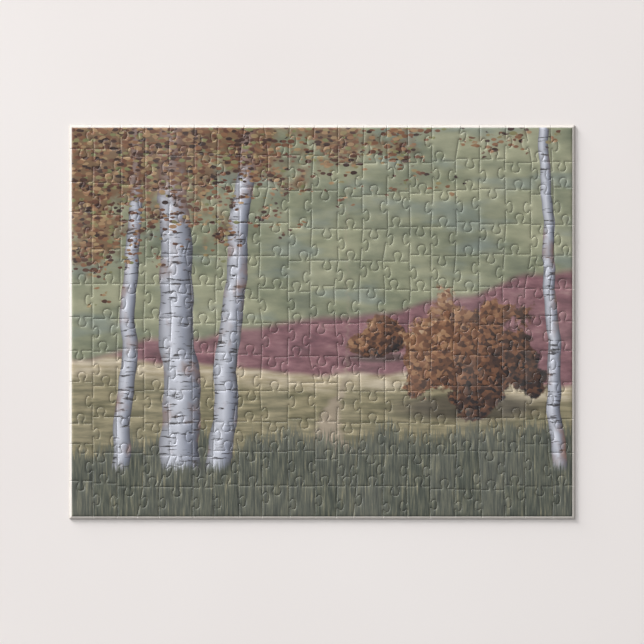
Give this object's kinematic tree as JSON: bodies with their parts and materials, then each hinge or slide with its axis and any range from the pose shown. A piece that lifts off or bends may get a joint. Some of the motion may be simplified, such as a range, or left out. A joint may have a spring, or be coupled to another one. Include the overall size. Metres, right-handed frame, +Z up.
{
  "type": "jigsaw puzzle",
  "caption": "Assembled rectangular jigsaw puzzle of printed chipboard, lying flat picture side up, with interlocking knobbed pieces in wandering rows and columns",
  "frame": {"origin": "centre of the puzzle's underside, on the surface it lies on", "axes": "+X along the long side to the right of the picture, +Y to the top of the picture, +Z up out of the printed face"},
  "size_m": [0.3556, 0.277, 0.0019],
  "materials": {
    "printed_board": "satin"
  },
  "bodies": {
    "root": {"block_r1_c1": "printed_board", "block_r1_c2": "printed_board", "block_r1_c3": "printed_board", "block_r1_c4": "printed_board", "block_r1_c5": "printed_board", "block_r1_c6": "printed_board", "block_r1_c7": "printed_board", "block_r2_c1": "printed_board", "block_r2_c2": "printed_board", "block_r2_c3": "printed_board", "block_r2_c4": "printed_board", "block_r2_c5": "printed_board", "block_r2_c6": "printed_board", "block_r2_c7": "printed_board", "block_r3_c1": "printed_board", "block_r3_c2": "printed_board", "block_r3_c3": "printed_board", "block_r3_c4": "printed_board", "block_r3_c5": "printed_board", "block_r3_c6": "printed_board", "block_r3_c7": "printed_board", "block_r4_c1": "printed_board", "block_r4_c2": "printed_board", "block_r4_c3": "printed_board", "block_r4_c4": "printed_board", "block_r4_c5": "printed_board", "block_r4_c6": "printed_board", "block_r4_c7": "printed_board"}
  },
  "joints": []
}
